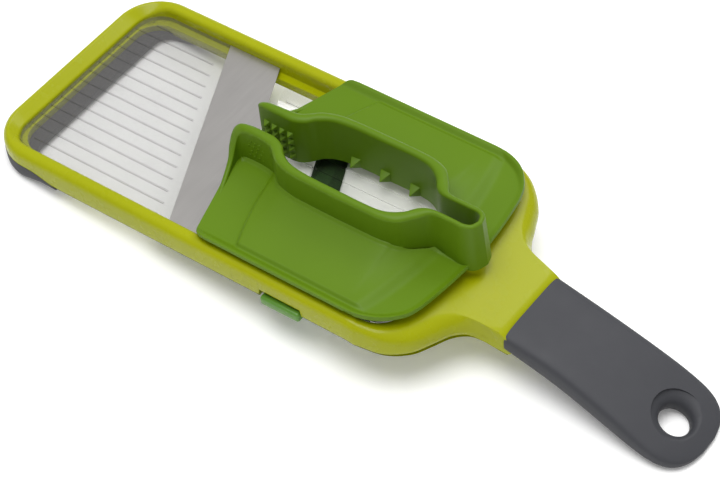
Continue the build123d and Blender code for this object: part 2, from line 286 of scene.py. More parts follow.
def half_outlines():
    """Outer edge, seat and window on the far side, with the same number of points."""
    bend = through([(209, 59), (222, 55.4), (231, 47.6), (235.8, 38), (239.6, 29.4),
                    (245, 23.4), (251.5, 21.2), (258, 20.7), (263, 20.2)], 12)
    shoulder = evenly(bend, 61)[:-1]
    outer = [straight((0, 0), (0, 37), 10), arc((22, 37), 22, 16),
             rail_run(22, 209, 59), shoulder,
             straight((263, 20.2), (263, 0), 8, True)]
    seat = [straight((8.3, 0), (8.3, 39), 10), arc((21.3, 39), 13, 16),
            rail_run(21.3, 208, 52), arc((208, 39), 13, 30, 90, -90),
            straight((221, 39), (221, 21.2), 30), straight((221, 21.2), (221, 0), 8, True)]
    window = [straight((9.8, 0), (9.8, 36.2), 10), arc((21.8, 36.2), 12, 16),
              rail_run(21.8, 210.6, 48.2), arc((210.6, 38.2), 10, 30, 90, -90),
              straight((220.6, 38.2), (220.6, 21.2), 30),
              straight((220.6, 21.2), (220.6, 0), 8, True)]
    return [np.vstack(line) for line in (outer, seat, window)]


def whole(half):
    """A half outline and its mirror image, as one closed line."""
    other = half[::-1][1:] * [1, -1]
    return np.vstack([half, other])


OUTER, SEAT, WINDOW = [whole(line) for line in half_outlines()]
print("the frame's outlines have", len(OUTER), "stations")

# %% The frame's section, carried all the way round
top_z = ruler([(-60, RAIL_TOP), (60, RAIL_TOP), (200, RAIL_TOP), (209, 4.7), (222, 2.6),
               (241, -2.5), (262, -8.2), (270, -10.4)])
low_z = ruler([(-60, RAIL_LOW), (60, RAIL_LOW), (200, RAIL_LOW), (209, -7.8), (222, -9.8),
               (241, -13.9), (259, -18.7), (270, -21.8)])


def notched(x, y):
    """How far a rail's underside is lifted over a button notch."""
    middle = notch_middle(math.copysign(1, y))
    inside = soft_step(x, middle - NOTCH_HALF, middle - NOTCH_HALF + 0.5)
    inside *= 1 - soft_step(x, middle + NOTCH_HALF - 0.5, middle + NOTCH_HALF)
    return NOTCH_LIFT * inside


def frame_section(outer, seat, window):
    """The closed section across the frame at one station."""
    across = seat - outer
    length = np.linalg.norm(across)
    far_bar = 1.0 - soft_step(outer[0], 0.5, 19.0)
    neck = soft_step(outer[0], 212.0, 246.0)
    outer_r = 3.4 + 4.4 * neck
    inner_r = 2.6 - 2.0 * far_bar
    points = []

    def add(inset, drop, low=False):
        x, y = outer + across * inset / length
        fall = 4.0 * far_bar * np.clip((inset - 2.4) / (length - 2.4), 0, 1)
        z = low_z(x) + notched(x, y) + drop if low else top_z(x) - fall - drop
        points.append((x, y, z))

    low_r = 1.8 + 3.0 * neck
    for turn in np.radians(np.linspace(90, 0, 6)):
        add(low_r * (1 - math.cos(turn)), low_r * (1 - math.sin(turn)), low=True)
    for turn in np.radians(np.linspace(0, 90, 15)):
        add(outer_r * (1 - math.cos(turn)), outer_r * (1 - math.sin(turn)))
    for share in np.linspace(0.1, 0.9, 7):
        add(outer_r + share * (length - outer_r - inner_r), 0.0)
    for turn in np.radians(np.linspace(0, 90, 8)):
        add(length - inner_r * (1 - math.sin(turn)), inner_r * (1 - math.cos(turn)))
    x, y = seat
    points.append((x, y, LEDGE_Z + 0.25))
    points.append((*(seat + (window - seat) * 0.06), LEDGE_Z))
    points.append((*(seat + (window - seat) * 0.9), LEDGE_Z))
    x, y = window
    points.append((x, y, LEDGE_Z - 0.35))
    points.append((x, y, low_z(x) + notched(x, y) + 0.5))
    for share in np.linspace(0.06, 0.94, 7):
        x, y = window + (outer - window) * share
        points.append((x, y, low_z(x) + notched(x, y)))
    points.append(points[0])
    return points


sections = [frame_section(*station) for station in zip(OUTER, SEAT, WINDOW)]
moulding = wrap("frame_moulding", sections)
print("frame moulding wrapped:", len(moulding.data.vertices), "points")

# %% Stand the frame up
stand(moulding)
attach(moulding, "frame")
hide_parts("main_frame")
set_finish(moulding, "lime")

# %% [markdown]
# ## The non-slip foot
#
# A soft grey pad wraps the underside of the far end. Its upper edge runs along the
# side of the rail and sweeps down to nothing at each end. It is wrapped over the same
# outer outline as the frame, a hair prouder, so that the two look moulded together.

# %% Wrap the foot
def foot_outlines():
    outer = np.vstack([straight((0, 0), (0, 37), 10), arc((22, 37), 22, 16),
                       straight((22, 59), (42, 59), 14, True)])
    inner = np.vstack([straight((17.5, 0), (17.5, 40), 10), arc((26.5, 40), 9, 16),
                       straight((26.5, 49), (42, 49), 14, True)])
    flip = [1, -1]
    return [np.vstack([(line * flip)[::-1][:-1], line]) for line in (outer, inner)]


foot_top = ruler([(-10, -2.6), (0, -2.6), (12, -2.4), (24, -2.6), (30, -3.2), (36, -4.9),
                  (42, -6.6), (50, -8)])
foot_low = ruler([(-10, -10), (0, -9.9), (5, -10.1), (17, -11.2), (22, -11.0), (30, -9.6),
                  (42, -7.3), (50, -7)])


def foot_section(outer, inner):
    across = inner - outer
    length = np.linalg.norm(across)
    high = float(foot_top(outer[0]))
    low = float(foot_low(outer[0]))
    radius = min(3.6, (high - low) * 0.6)
    shelf = min(-6.0, high - 0.1)
    points = [(0.9, high - 0.15), (-0.1, high), (-0.22, high - 0.25)]
    for turn in np.radians(np.linspace(0, 90, 8)):
        points.append((radius * (1 - math.cos(turn)) - 0.22, low + radius * (1 - math.sin(turn))))
    points += [(length * 0.6, low), (length - 0.8, low), (length, low + 0.5 * (shelf - low)),
               (length - 0.3, shelf), (length * 0.5, shelf), (0.9, shelf), (0.9, high - 0.15)]
    return [(*(outer + across * inset / length), z) for inset, z in points]


foot = wrap("soft_foot", [foot_section(*station) for station in zip(*foot_outlines())])
close_ends(foot)
clean(foot)
stand(foot)
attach(foot, "frame")
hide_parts("non_slip_foot")
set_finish(foot, "grey")

# %% [markdown]
# ## The handle
#
# The sleeve is a soft tube that droops, swells a little before its end and closes in a
# blunt nose. By hand: add a circle, then extrude it ring by ring, moving and scaling
# each new ring to the handle's width and thickness there. The rings are then squared
# slightly, because a comfortable handle is between an oval and a rounded slab.

# %% Extrude the sleeve from a ring
handle_top = ruler([(250, -4.6), (259, -7.1), (285, -12.9), (312, -22.6), (332, -32.2),
                    (341, -37.2), (348, -41.0)])
handle_low = ruler([(250, -16), (259, -19.0), (285, -27.6), (312, -37.2), (325, -41.3),
                    (334, -43.2), (341, -43.6), (348, -43.2)])
handle_half = through([(259.3, 21.0), (285, 20.8), (312, 21.9), (322, 22.3), (331, 22.1),
                       (337.5, 20.6), (342.3, 17.2), (345.4, 12.0), (347.0, 5.2)], 8)
rings = handle_half[::2]


def ring_shape(x, half):
    """Centre, half width and half thickness of the sleeve at x."""
    high, low = float(handle_top(x)), float(handle_low(x))
    close = math.sqrt(max(0.0, 1 - max(0.0, (x - 340.0) / 7.6) ** 2))
    middle = (high + low) / 2
    return Vector((x, 0, middle)), half, (high - low) / 2 * max(close, 0.18)


centre, half, thick = ring_shape(*rings[0])
deselect()
bpy.ops.mesh.primitive_circle_add(vertices=64, radius=1, location=centre,
                                  rotation=(0, math.radians(90), 0))
sleeve = bpy.context.object
sleeve.name = "handle_soft_sleeve"
sleeve.data.name = "handle_soft_sleeve"
sleeve.scale = (thick, half, 1)
bpy.ops.object.transform_apply(location=True, rotation=True, scale=True)
bpy.ops.object.mode_set(mode="EDIT")
bpy.ops.mesh.select_all(action="SELECT")
bpy.ops.mesh.edge_face_add()
last = (centre, half, thick)
for ring in rings[1:]:
    centre, half, thick = ring_shape(*ring)
    bpy.ops.mesh.extrude_region_move(TRANSFORM_OT_translate={"value": centre - last[0]})
    bpy.ops.transform.resize(value=(1, half / last[1], thick / last[2]), center_override=centre)
    last = (centre, half, thick)
bpy.ops.object.mode_set(mode="OBJECT")
print("sleeve extruded in", len(rings), "rings")

# %% Square the rings
for vertex in sleeve.data.vertices:
    x, y, z = vertex.co
    half = float(np.interp(x, handle_half[:, 0], handle_half[:, 1]))
    centre, _, thick = ring_shape(x, half)
    turn = math.atan2((z - centre.z) / thick, y / half)
    power = 2 / 4.2 if z > centre.z else 2 / 3.0
    side, up = math.cos(turn), math.sin(turn)
    vertex.co.y = half * math.copysign(abs(side) ** power, side)
    vertex.co.z = centre.z + thick * math.copysign(abs(up) ** power, up)
pick(sleeve)
bpy.ops.object.mode_set(mode="EDIT")
bpy.ops.mesh.select_all(action="SELECT")
bpy.ops.mesh.normals_make_consistent(inside=False)
bpy.ops.object.mode_set(mode="OBJECT")
print("sleeve squared:", len(sleeve.data.vertices), "points")

# %% [markdown]
# The hanging hole is flared at both mouths. Its cutter is a spindle: half of its
# outline is drawn as a chain of points and spun once around the axis.

# %% Spin the spindle and cut the hanging hole
HOLE_X = 330.2
HOLE_Z = -37.6
HOLE_SLOPE = 20.0


def spindle(name, outline, steps=64):
    """Spin a half outline of (radius, height) points into a closed solid."""
    deselect()
    bpy.ops.mesh.primitive_plane_add(size=1)
    solid = bpy.context.object
    solid.name = name
    bpy.ops.object.mode_set(mode="EDIT")
    bpy.ops.mesh.select_all(action="SELECT")
    bpy.ops.mesh.merge(type="CENTER")
    bpy.ops.transform.translate(value=(outline[0][0], 0, outline[0][1]))
    for a, b in zip(outline, outline[1:]):
        step = {"value": (b[0] - a[0], 0, b[1] - a[1])}
        bpy.ops.mesh.extrude_region_move(TRANSFORM_OT_translate=step)
    bpy.ops.mesh.select_all(action="SELECT")
    bpy.ops.mesh.spin(steps=steps, angle=math.tau, center=(0, 0, 0), axis=(0, 0, 1))
    bpy.ops.object.mode_set(mode="OBJECT")
    clean(solid)
    return solid


outline = [(0, -24), (11.4, -24), (11.4, -6.8), (9.6, -5.4), (8.3, -4.2), (7.5, -2.6),
           (7.2, -0.8), (7.3, 0.8), (7.8, 2.2), (8.8, 3.4), (10.4, 4.5), (12.4, 5.3),
           (12.4, 24), (0, 24)]
hole = spindle("hole_cutter", outline)
hole.data.transform(Matrix.Translation((HOLE_X, 0, HOLE_Z))
                    @ Matrix.Rotation(math.radians(HOLE_SLOPE), 4, "Y"))
carve(sleeve, hole)
stand(sleeve, 50)
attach(sleeve, "frame")
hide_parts("handle_sleeve")
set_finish(sleeve, "grey")

# %% [markdown]
# ## The food grip
#
# The grip is one flexible moulding. Each half has an upright wall that follows the
# pinching lobe, the belly and half of the narrow pocket, and a wide wing that rides on
# the rail. The wall is a bar: two lines describe its faces from above, and its section
# has a fully rounded rim. At the blade end it turns outwards and sinks along the wing's
# edge. The wing is a gently raised panel with a turned-up rim, made as a second wrapped
# sheet whose inner edge is buried in the wall, which leaves the crisp line at the joint.

# %% The wall of one jaw
FOOD_FACE = [(119.0, 39.0), (114.4, 27), (110.8, 17), (109.0, 12.6), (109.2, 9.2), (111.6, 6.8),
             (117, 5.8), (124, 5.6), (131, 5.8), (136.5, 8.2), (140.5, 12), (147, 15.2),
             (158, 16.6), (174, 16.8), (190, 16.8), (198, 15.4), (204, 11.5), (208, 6.6),
             (213, 4.4), (224, 4.2), (229.5, 4.2), (232.47, 2.97), (233.7, 0)]
WING_FACE = [(120.8, 38.4), (116.9, 27), (114.0, 18), (113.2, 13.8), (113.7, 11.5),
             (116.2, 10.4), (121, 10.2), (126, 10.4), (132, 11.6), (136, 14.6), (140.5, 17.8),
             (149, 20.2), (160, 20.8), (174, 21.0), (190, 20.9), (198, 20.4), (205, 18),
             (210.5, 12), (215, 7.1), (224, 6.5), (229.5, 6.5), (234.1, 4.6), (236, 0)]
WALL_TOP = [8.4, 10.6, 14.8, 20.6, 26.4, 29.3, 30.3] + [30.5] * 16
WALL_LOW = [7.6, 7.8, 7.0, 5.0, 3.8, 3.3, 3.2] + [3.2] * 2 + [4.0, 4.8] + [5.0] * 12
WALL_STEPS = 7


def wall_sections(side):
    food = through(FOOD_FACE, WALL_STEPS)
    wing = through(WING_FACE, WALL_STEPS)
    heights = through(list(zip(WALL_TOP, WALL_LOW)), WALL_STEPS)
    sections = []
    for place, ((ax, ay), (bx, by), (high, low)) in enumerate(zip(food, wing, heights)):
        low = max(low, 3.2)
        rim = min(2.0, 0.45 * math.hypot(bx - ax, by - ay) + 0.05, (high - low) * 0.5)
        draft = 1.8 * soft_step(place / WALL_STEPS, 17.0, 20.0)
        section = [(0.0, low + 0.5), (0.0, low + 0.3 * (high - low)), (0.0, high - rim - 0.2)]
        for turn in np.radians(np.linspace(0, 180, 11)):
            section.append(((1 - math.cos(turn)) / 2, high - rim + rim * math.sin(turn)))
        section += [(1.0, high - rim - 0.2), (1.0, low + 0.3 * (high - low)), (1.0, low + 0.5),
                    (0.86, low), (0.14, low), (0.0, low + 0.5)]
        ring = []
        for share, z in section:
            depth = (high - z) / (high - low)
            push = draft * depth * share
            width = math.hypot(bx - ax, by - ay)
            x = ax + (bx - ax) * share + push * (bx - ax) / width
            y = ay + (by - ay) * share + push * (by - ay) / width
            if place == len(food) - 1:
                y = 0.0
            ring.append((x, side * y, z))
        sections.append(ring)
    return sections


# %% [markdown]
# The wing's top is a height over its plan: high beside the wall, low near the rail, a
# raised middle between two creases, and a lip that follows the outer edge. Rows run
# from the blade end to the handle end, and each row is stretched between the two curved
# ends, so the sheet's last rows lie exactly along the wing's edges.

# %% The wing of one jaw
blade_end = ruler([(0, 109.2), (9.5, 110.2), (17, 111.8), (25, 113.6), (33, 115.7),
                   (50, 120.0), (53, 121.4), (54.8, 123.0), (55.8, 125.0), (56.4, 128.0)])
handle_end = ruler([(0, 234), (7.6, 233), (20, 231.9), (33, 230.1), (38, 229), (43, 227.2),
                    (47, 224.6), (50, 222), (52.5, 218.5), (54.5, 214), (55.7, 209),
                    (56.4, 204)])
wall_base = ruler([(100, 11.9), (131, 12.1), (140, 12.7), (150, 13.5), (195, 13.6),
                   (203, 12.2), (209, 10.2), (214, 8.8), (220, 8.4), (240, 8.2)])
WALL_AT = through(WING_FACE, 6)[24:]
WING_EDGE = 56.4
WING_T = 2.4
SKIRT_IN = 49.8
SKIRT_OUT = 51.5
SKIRT_LOW = 1.8
PANEL_LOW = 8.0
RAISED = 1.8


def wing_top(x, y):
    """Height of the wing's upper face over the plan."""
    beside = np.interp(x, WALL_AT[:, 0], WALL_AT[:, 1], left=10.3, right=6.0)
    share = np.clip((50 - y) / (50 - beside), 0, 1.15)
    height = PANEL_LOW + (wall_base(x) - 8.4) * share ** 1.15
    height += 0.9 * (1 - soft_step(y, beside, beside + 1.6))
    blade_crease = 132.5 + 0.0038 * y * y
    handle_crease = 216.0 - 0.003 * y * y
    raised = soft_step(x, blade_crease - 1.0, blade_crease + 1.0)
    raised *= 1 - soft_step(x, handle_crease - 3.0, handle_crease + 3.5)
    raised *= 1 - soft_step(y, 50.0, 53.0)
    height += RAISED * raised
    ends = (handle_end(y + 0.1) - handle_end(y - 0.1)) / 0.2
    edge = min(WING_EDGE - y, float(handle_end(y) - x) / math.hypot(1, ends))
    lip = 0.6 + 1.5 * soft_step(y, 40, 53)
    width = 2.4 + 2.6 * soft_step(y, 40, 53)
    return float(height + lip * (1 - soft_step(edge, 0.8, width)))


def wing_sections(side):
    rows = np.concatenate([[0], np.linspace(0.004, 0.996, 130), [1]])
    columns = np.concatenate([np.linspace(0, 0.1, 10), np.linspace(0.12, 0.80, 28),
                              np.linspace(0.82, 0.985, 22)])
    sections = []
    for number, row in enumerate(rows):
        closing = number in (0, len(rows) - 1)
        top, under = [], []
        for column in columns:
            left = float(np.interp(blade_end(10) + row * 120, WALL_AT[:, 0], WALL_AT[:, 1],
                                   left=9.6, right=5.2))
            inner = max(left - 1.2, 4.6)
            y = inner + (WING_EDGE - inner) * column
            x = float(blade_end(y) + row * (handle_end(y) - blade_end(y)))
            high = wing_top(x, y)
            floor = 5.5 if y > SKIRT_OUT else 5.1
            low = max(high - WING_T, floor)
            if SKIRT_IN < y < SKIRT_OUT:
                low += (SKIRT_LOW - low) * float(1 - soft_step(x, 202, 204.5))
            if closing:
                high = low = (high + max(high - WING_T, floor)) / 2
            top.append((x, side * y, high))
            under.append((x, side * y, low))
        y = WING_EDGE
        x = float(blade_end(y) + row * (handle_end(y) - blade_end(y)))
        high = top[-1][2]
        low = under[-1][2]
        rim = [(x, side * (y - 0.25), high - 0.12), (x, side * y, high - 0.6 * (high - low)),
               (x, side * (y - 0.5), low + 0.6 * (high - low) * 0.2)]
        sections.append(top + rim + under[::-1] + [top[0]])
    return sections


print("wing height beside the wall:", round(wing_top(170, 22), 2), "mm")

# %% [markdown]
# Two kinds of stud hold the food: small pyramids on the lobes and larger ones low on
# the belly. A pyramid is a four-sided cone with its point cut short and its edges
# eased. It is modelled once for each kind and copied, each copy with a mesh of its own.

# %% Studs and grip dots
def stud(base, height):
    deselect()
    bpy.ops.mesh.primitive_cone_add(vertices=4, radius1=base / math.sqrt(2), radius2=0.3,
                                    depth=height, location=(0, 0, height / 2),
                                    rotation=(0, 0, math.radians(45)))
    pyramid = bpy.context.object
    bpy.ops.object.transform_apply(location=True, rotation=True, scale=True)
    bpy.ops.object.mode_set(mode="EDIT")
    bpy.ops.mesh.select_all(action="SELECT")
    bpy.ops.mesh.bevel(offset=0.18, segments=2)
    bpy.ops.object.mode_set(mode="OBJECT")
    return pyramid


def dot(radius):
    deselect()
    bpy.ops.mesh.primitive_uv_sphere_add(segments=12, ring_count=6, radius=radius)
    bpy.ops.transform.resize(value=(1, 1, 0.45), center_override=(0, 0, 0))
    bump = bpy.context.object
    bpy.ops.object.transform_apply(location=True, rotation=True, scale=True)
    return bump


def copy_to(pattern, place, towards):
    """A copy that points along +y or -y at a place."""
    copied = pattern.copy()
    copied.data = pattern.data.copy()
    bpy.context.scene.collection.objects.link(copied)
    turn = Matrix.Rotation(-towards * math.pi / 2, 4, "X")
    copied.data.transform(Matrix.Translation(place) @ turn)
    return copied


STUD_X = 116.0
STUD_Z = 6.9
STUD_PITCH = 4.35
LARGE_X = 156.0
LARGE_Z = 8.2
LARGE_PITCH = 16.0


def studs_for(side):
    small, large, pip = stud(3.6, 2.6), stud(6.0, 5.4), dot(0.55)
    made = []
    for column in range(4):
        for row in range(4):
            place = (STUD_X + STUD_PITCH * column, side * 6.1, STUD_Z + STUD_PITCH * row)
            made.append(copy_to(small, place, -side))
    for number in range(3):
        place = (LARGE_X + LARGE_PITCH * number, side * 17.5, LARGE_Z)
        made.append(copy_to(large, place, -side))
    for row in range(4):
        for column in range(5):
            place = (118.6 + 2.6 * column + 1.3 * (row % 2), side * 10.35, 15.6 + 2.9 * row)
            made.append(copy_to(pip, place, side))
    for pattern in (small, large, pip):
        bpy.data.objects.remove(pattern)
    return made


# %% Assemble both jaws
jaws = {}
for label, side in (("near", -1), ("far", 1)):
    wall = wrap(f"{label}_wall", wall_sections(side))
    close_ends(wall)
    clean(wall)
    wing = wrap(f"{label}_wing", wing_sections(side))
    jaws[label] = join([wall, wing] + studs_for(side), f"{label}_jaw_moulding")
    stand(jaws[label], 42)

# %% [markdown]
# The U at the handle end is the hinge that lets both jaws flex together. Each half of
# the moulding holds half of it.

# %% Settle the jaws and hide the parts they replace
for label, nodes in (("near", ("grip_near_jaw", "grip_hinge_web")), ("far", ("grip_far_jaw",))):
    piece = jaws[label]
    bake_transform(piece)
    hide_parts(*nodes)
    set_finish(piece, "green")

# %% [markdown]
# ## The two buttons
#
# Each button has a finger tab outside the rail and a slider that runs inward under the
# platform, parallel to the blade. Both are cubes at their size and place with bevelled
# edges. A round seat in the slider's inner end takes the spring when the button is
# pressed. They hang from the tilting platform, so they are lowered by its rest angle.

# %% Model the buttons
REST_DROP = 0.75
TAB_TOP = -4.45
SEAT_DEPTH = 9.0
rest = (Matrix.Translation((HINGE_X, 0, HINGE_Z))
        @ Matrix.Rotation(-math.radians(REST_DROP), 4, "Y")
        @ Matrix.Translation((-HINGE_X, 0, -HINGE_Z)))


def bevelled_cube(name, size, centre, offset, turn=0.0):
    deselect()
    bpy.ops.mesh.primitive_cube_add(size=1, location=centre, rotation=(0, 0, turn))
    cube = bpy.context.object
    cube.name = name
    cube.scale = size
    bpy.ops.object.transform_apply(location=True, rotation=True, scale=True)
    bpy.ops.object.mode_set(mode="EDIT")
    bpy.ops.mesh.select_all(action="SELECT")
    bpy.ops.mesh.bevel(offset=offset, segments=4)
    bpy.ops.object.mode_set(mode="OBJECT")
    return cube


skew_angle = math.atan(SKEW)
for label, side in (("near", -1), ("far", 1)):
    tab = bevelled_cube(f"{label}_tab", (21.0, 11.0, 4.8),
                        (tab_middle(side), side * 55.1, TAB_TOP - 2.4), 1.3)
    y = side * 38.5
    slider = bevelled_cube(f"{label}_slider", (11.0, 28.0, 4.2),
                           (CARRIER_X - SKEW * y, y, TAB_TOP - 2.3), 0.5, skew_angle)
    y = side * 27.0
    deselect()
    bpy.ops.mesh.primitive_cylinder_add(vertices=32, radius=2.05, depth=SEAT_DEPTH,
                                        location=(CARRIER_X - SKEW * y, y, TAB_TOP - 2.1),
                                        rotation=(math.radians(90), 0, skew_angle))
    carve(slider, bpy.context.object)
    button = join([tab, slider], f"{label}_button_moulding")
    button.data.transform(rest)
    stand(button)
    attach(button, f"{label}_button")
    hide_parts(f"{label}_button")
    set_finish(button, "button_green")

# %% [markdown]
# ## Writing finishes as expressions
#
# A procedural finish is arithmetic on fields: noise, stretched noise and the direction
# of a face. The class below wraps a socket, so that 1 - mask or noise * 0.1 builds the
# Math nodes itself. Every other node is added through one method that takes its type,
# its settings and its values.

# %% Fields and finishes
class Field:
    """One socket of a finish, with the usual arithmetic."""

    def __init__(self, finish, socket):
        self.finish, self.socket = finish, socket

    def _math(self, how, a, b):
        return self.finish.node("ShaderNodeMath", {"operation": how}, {0: a, 1: b})

    def __add__(self, other):
        return self._math("ADD", self, other)

    def __radd__(self, other):
        return self._math("ADD", other, self)

    def __sub__(self, other):
        return self._math("SUBTRACT", self, other)

    def __rsub__(self, other):
        return self._math("SUBTRACT", other, self)

    def __mul__(self, other):
        return self._math("MULTIPLY", self, other)

    def __rmul__(self, other):
        return self._math("MULTIPLY", other, self)

    def __pow__(self, other):
        return self._math("POWER", self, other)


class Finish:
    """A material with one principled shader."""

    def __init__(self, name, **constants):
        self.material = bpy.data.materials.new(name)
        self.material.use_nodes = True
        self.tree = self.material.node_tree
        self.shader = self.tree.nodes["Principled BSDF"]
        for socket, value in constants.items():
            self.shader.inputs[socket.replace("_", " ")].default_value = value

    def node(self, kind, settings=None, values=None, output=0):
        made = self.tree.nodes.new(kind)
        for key, value in (settings or {}).items():
            if key == "stops":
                for stop, (at, colour) in zip(made.color_ramp.elements, value):
                    stop.position, stop.color = at, colour
            else:
                setattr(made, key, value)
        for key, value in (values or {}).items():
            self.feed(made.inputs[key], value)
        return Field(self, made.outputs[output])

    def feed(self, socket, value):
        if isinstance(value, Field):
            self.tree.links.new(value.socket, socket)
        else:
            socket.default_value = value

    def set(self, **fields):
        for name, value in fields.items():
            self.feed(self.shader.inputs[name.replace("_", " ")], value)

    def place(self, turn=0.0, stretch=(1, 1, 1)):
        """Object coordinates, turned and stretched."""
        where = self.node("ShaderNodeTexCoord", output="Object")
        return self.node("ShaderNodeMapping", {},
                         {"Vector": where, "Rotation": (0, 0, turn), "Scale": stretch})

    def noise(self, where, scale, detail=2.0):
        return self.node("ShaderNodeTexNoise", {}, {"Vector": where, "Scale": scale,
                                                   "Detail": detail}, "Fac")

    def mix(self, share, a, b):
        return self.node("ShaderNodeMix", {"data_type": "RGBA"}, {0: share, 6: a, 7: b}, 2)

    def bump(self, height, distance, strength=1.0):
        return self.node("ShaderNodeBump", {}, {"Height": height, "Distance": distance,
                                               "Strength": strength}, "Normal")


print("finishes can be written now")

# %% [markdown]
# ## Moulded plastic
#
# Gloss or satin, a moulding is never one flat colour: the pigment clouds slightly as
# it flows, handling leaves faint duller patches, and the tool leaves a very fine
# texture. A broad noise tints the colour, a middle one changes the gloss and a fine one
# raises the surface by a few hundredths of a millimetre. The same recipe with other
# numbers gives the lime gloss, the two satin greens and the soft grey.

# %% The moulded finishes
def moulded(name, colour, cloud, roughness, spread, grain, depth, **constants):
    made = Finish(name, **constants)
    where = made.place()
    tint = made.noise(where, 28.0, 3.0)
    dark = tuple(c * (1 - cloud) for c in colour) + (1,)
    light = tuple(min(1.0, c * (1 + cloud)) for c in colour) + (1,)
    wear = made.noise(where, 140.0, 4.0)
    texture = made.noise(where, grain, 3.0)
    made.set(Base_Color=made.mix(tint, dark, light),
             Roughness=roughness - spread / 2 + wear * spread,
             Normal=made.bump(texture, depth))
    return made.material


LIME = moulded("lime_gloss", (0.305, 0.328, 0.001), 0.05, 0.27, 0.08, 900.0, 0.00002,
               Specular_IOR_Level=0.16, Coat_Weight=0.05, Coat_Roughness=0.06)
GREEN = moulded("jaw_green_satin", (0.092, 0.178, 0.002), 0.07, 0.46, 0.1, 2200.0, 0.00003,
                Specular_IOR_Level=0.2)
BUTTON_GREEN = moulded("button_green_satin", (0.075, 0.21, 0.014), 0.07, 0.36, 0.1, 2200.0,
                       0.00003)
DARK_GREEN = moulded("adjuster_dark_green", (0.012, 0.045, 0.004), 0.1, 0.45, 0.1, 2200.0,
                     0.00003)
GREY = moulded("soft_touch_grey", (0.038, 0.039, 0.045), 0.07, 0.60, 0.12, 3200.0, 0.00005,
               Specular_IOR_Level=0.4)
print("moulded finishes:", LIME.name, GREEN.name, GREY.name)

# %% [markdown]
# ## Steel
#
# The blade is brushed along its length. Brushing is noise stretched into long streaks:
# the pattern is turned to the blade's skew and squeezed hard across it. It changes the
# roughness and raises tiny ridges. The screws and pins are turned, not brushed, so
# they take the same steel with an even, finer noise.

# %% The steel finishes
def steel(name, colour, roughness, turn, stretch, scale, depth):
    made = Finish(name, Metallic=1.0)
    streak = made.noise(made.place(turn, stretch), scale, 5.0)
    smear = made.noise(made.place(), 45.0, 2.0)
    dark = tuple(c * 0.9 for c in colour) + (1,)
    light = tuple(c * 1.06 for c in colour) + (1,)
    made.set(Base_Color=made.mix(streak, dark, light),
             Roughness=roughness + (streak - 0.5) * 0.16 + (smear - 0.5) * 0.08,
             Normal=made.bump(streak, depth))
    return made.material


BLADE = steel("brushed_blade", (0.47, 0.455, 0.44), 0.42, -skew_angle, (1.0, 0.03, 1.0), 1600.0,
              0.000012)
SCREW = steel("turned_steel", (0.55, 0.55, 0.56), 0.3, 0.0, (1, 1, 1), 1500.0, 0.00001)
print("steel finishes:", BLADE.name, SCREW.name)

# %% [markdown]
# ## Clear plastic
#
# The plates are clear. Real refraction would need many light paths and would darken
# what lies below, so the plastic lets most light straight through by its alpha. Seen
# on edge there is far more plastic to look through, so the sides that face the front,
# such as those of the ribs, are much denser, and their colour is darkened: painted
# shade. That is what draws the fine grey lines.
# The feed platform has a pale, less clear field inside clear borders: painted light that
# lifts the shade under the grip. Where the adjuster bar is bonded to it the surfaces
# touch and the plate stays clear.

# %% The clear finish
def painted_light_mask(made, where):
    """One on the platform's field of painted light, nothing over the bonded bar and the borders."""
    node = frame["nodes"]["feed_platform"]
    to_flat = STAND.inverted() @ node.matrix_world
    line = to_flat[0].xyz + to_flat[1].xyz * SKEW
    offset = to_flat[0][3] + to_flat[1][3] * SKEW - CARRIER_X
    across = made.node("ShaderNodeVectorMath", {"operation": "DOT_PRODUCT"},
                       {0: where, 1: tuple(line * MM)}, "Value") + offset * MM
    away = made.node("ShaderNodeMath", {"operation": "ABSOLUTE"}, {0: across})
    off_bar = made.node("ShaderNodeMath", {"operation": "GREATER_THAN"}, {0: away, 1: 8.5 * MM})
    sideways = made.node("ShaderNodeVectorMath", {"operation": "DOT_PRODUCT"},
                         {0: where, 1: (0, 1, 0)}, "Value")
    spread = made.node("ShaderNodeMath", {"operation": "ABSOLUTE"}, {0: sideways})
    middle = made.node("ShaderNodeMath", {"operation": "LESS_THAN"}, {0: spread, 1: 36 * MM})
    return off_bar * middle


def clear(name, colour, flat_alpha, edge_alpha, gloss, painted_light_strength=0.0):
    made = Finish(name, Roughness=gloss, Specular_IOR_Level=0.8)
    where = made.place()
    facing = made.node("ShaderNodeNewGeometry", output="Normal")
    inside = made.node("ShaderNodeNewGeometry", output="Backfacing")
    front = made.node("ShaderNodeVectorMath", {"operation": "DOT_PRODUCT"},
                      {0: facing, 1: (0, -1, 0)}, "Value")
    side = made.node("ShaderNodeMath", {"operation": "MAXIMUM"}, {0: front, 1: 0.0})
    # Sides that face the front are denser and painted dark: painted shade for the fine grey lines.
    edge_density_and_shade = side ** 2.0 * (1 - inside)
    haze = made.noise(where, 60.0, 3.0)
    # A pale, denser field on the feed platform: painted light that lifts the shade under the grip.
    painted_light_amount = painted_light_mask(made, where) * painted_light_strength
    pale = colour + (1,)
    # The dark colour of the front-facing sides is painted shade.
    painted_edge_shade = tuple(c * 0.3 for c in colour) + (1,)
    # The pale colour of that field is painted light.
    painted_light_colour = (0.82, 0.82, 0.79, 1)
    tone = made.mix(painted_light_amount, made.mix(edge_density_and_shade, pale, painted_edge_shade), painted_light_colour)
    made.set(Base_Color=tone,
             Alpha=flat_alpha + edge_density_and_shade * (edge_alpha - flat_alpha) + haze * 0.05 + painted_light_amount * 0.42,
             Roughness=gloss + haze * 0.05,
             Normal=made.bump(made.noise(where, 500.0), 0.000008))
    return made.material


CLEAR = clear("clear_plate", (0.13, 0.125, 0.12), 0.26, 0.9, 0.10)
